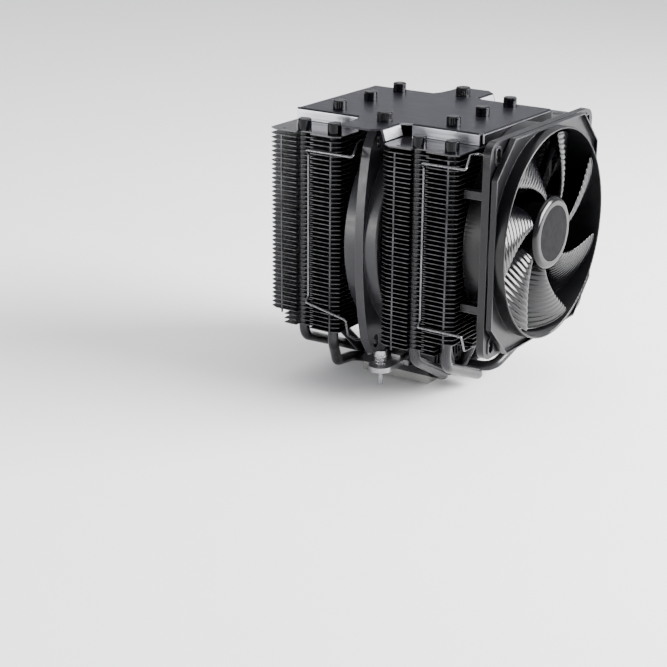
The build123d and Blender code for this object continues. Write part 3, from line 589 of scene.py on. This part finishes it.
def add_springs():
    """Both screw springs, as coils in place of the CAD springs."""
    for side in ("near", "far"):
        node = f"{side}_screw_spring"
        low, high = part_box(node)
        y = (low.y + high.y) / 2
        spring = screw_spring(f"{side}_coil_spring", low.z, high.z, y)
        add_piece(spring, "cooler", "springs", node)
        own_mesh(spring)


# Studio

def floor_look():
    """Pale, very lightly mottled paper."""
    look = Look("floor_paper")
    look.set(Base_Color=look.mix(look.noise(6, 3), (0.86, 0.86, 0.87), (0.90, 0.90, 0.90)))
    look.set(Roughness=look.remap(look.noise(40, 3), 0.3, 0.7, 0.55, 0.7), Specular_IOR_Level=0.2)
    return look.material


def add_floor():
    """A round sheet of paper that curves up all round, far from the object."""
    low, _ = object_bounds()
    bottom = low.z - FLOOR_GAP
    section = [(radius, 0.0) for radius in (0.5, 1.5, 3.0, FLOOR_RADIUS)]
    section += [
        (FLOOR_RADIUS + FLOOR_BEND * math.sin(a), FLOOR_BEND * (1 - math.cos(a)))
        for a in np.linspace(0.1, math.pi / 2, 12)
    ]
    section.append((FLOOR_RADIUS + FLOOR_BEND, FLOOR_RISE))
    points = []
    for k in range(FLOOR_SEGMENTS):
        angle = 2 * math.pi * k / FLOOR_SEGMENTS
        points += [(r * math.cos(angle), r * math.sin(angle), bottom + z) for r, z in section]
    faces = grid_faces(FLOOR_SEGMENTS, len(section), wrap_rows=True)
    faces.append(tuple(k * len(section) for k in range(FLOOR_SEGMENTS)))
    floor = new_mesh("floor", points, faces)
    floor.data.materials.append(floor_look())


def add_light(name, place, target, width, height, power, spread=180):
    """A soft rectangular light aimed at a point; spread is its cone of light in degrees."""
    light = bpy.data.lights.new(name, "AREA")
    light.shape = "RECTANGLE"
    light.size, light.size_y = width, height
    light.energy = power
    light.spread = math.radians(spread)
    lamp = bpy.data.objects.new(name, light)
    lamp.location = place
    lamp.rotation_mode = "QUATERNION"
    lamp.rotation_quaternion = (Vector(target) - Vector(place)).to_track_quat("-Z", "Y")
    bpy.context.scene.collection.objects.link(lamp)


def add_lights():
    """A broad light past the front fan, a small low one on the near side and a large one overhead."""
    target = (0.0, 0.0, 0.09)
    add_light("right_back", (1.12, 0.48, 0.60), target, 1.10, 0.70, 56.0, 120)
    add_light("low_left", (-0.75, -0.95, 0.16), target, 0.35, 0.22, 9.0)
    add_light("top", (-0.2, 0.4, 2.6), target, 3.0, 3.0, 70.0)


def add_world():
    """An even, slightly cool sky, bright enough to keep the paper white."""
    world = bpy.data.worlds.new("studio")
    world.use_nodes = True
    sky = world.node_tree.nodes["Background"]
    sky.inputs["Color"].default_value = (0.95, 0.96, 1.0, 1)
    sky.inputs["Strength"].default_value = 0.7
    bpy.context.scene.world = world


def add_camera():
    """The photograph's view: from the front fan's side, a little above."""
    data = bpy.data.cameras.new("view")
    data.lens, data.sensor_width = CAMERA_LENS, CAMERA_SENSOR
    data.clip_start, data.clip_end = 0.01, 30.0
    camera = bpy.data.objects.new("view", data)
    back = Vector((
        math.sin(CAMERA_AZIMUTH) * math.cos(CAMERA_ELEVATION),
        -math.cos(CAMERA_AZIMUTH) * math.cos(CAMERA_ELEVATION),
        math.sin(CAMERA_ELEVATION),
    ))
    level = Vector((math.cos(CAMERA_AZIMUTH), math.sin(CAMERA_AZIMUTH), 0.0))
    upright = back.cross(level)
    right = math.cos(CAMERA_ROLL) * level + math.sin(CAMERA_ROLL) * upright
    up = math.cos(CAMERA_ROLL) * upright - math.sin(CAMERA_ROLL) * level
    turn = Matrix((right, up, back)).transposed().to_4x4()
    camera.matrix_world = Matrix.Translation(CAMERA_PLACE) @ turn
    bpy.context.scene.collection.objects.link(camera)
    bpy.context.scene.camera = camera


dress_frame()
add_rotors()
add_springs()
add_floor()
add_lights()
add_world()
add_camera()
